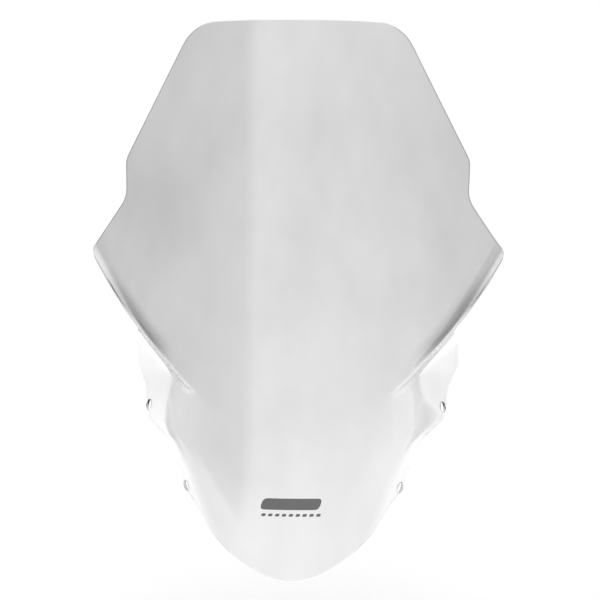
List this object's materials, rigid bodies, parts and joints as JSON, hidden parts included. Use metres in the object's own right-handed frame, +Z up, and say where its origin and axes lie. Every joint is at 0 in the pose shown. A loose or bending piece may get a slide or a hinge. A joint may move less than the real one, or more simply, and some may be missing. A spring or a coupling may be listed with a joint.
{
  "type": "windscreen",
  "caption": "Clear formed acrylic windscreen with folded side flanges, screw holes and flared hand-guard wings.",
  "frame": {"origin": "midway between the two lower screw holes, level with where their axes meet the front face", "axes": "+Z up, the convex front faces -Y, X = 0 is the centre plane with +X to the right in a front view"},
  "size_m": [0.4654, 0.2074, 0.5912],
  "materials": {
    "clear_acrylic": "clear acrylic sheet with a very faint smoke tint, polished faces and flame-polished edges",
    "printed_film": "satin dark grey film"
  },
  "bodies": {
    "root": {"screen": "clear_acrylic", "badge": "printed_film", "badge_dashes": "printed_film"}
  },
  "joints": []
}
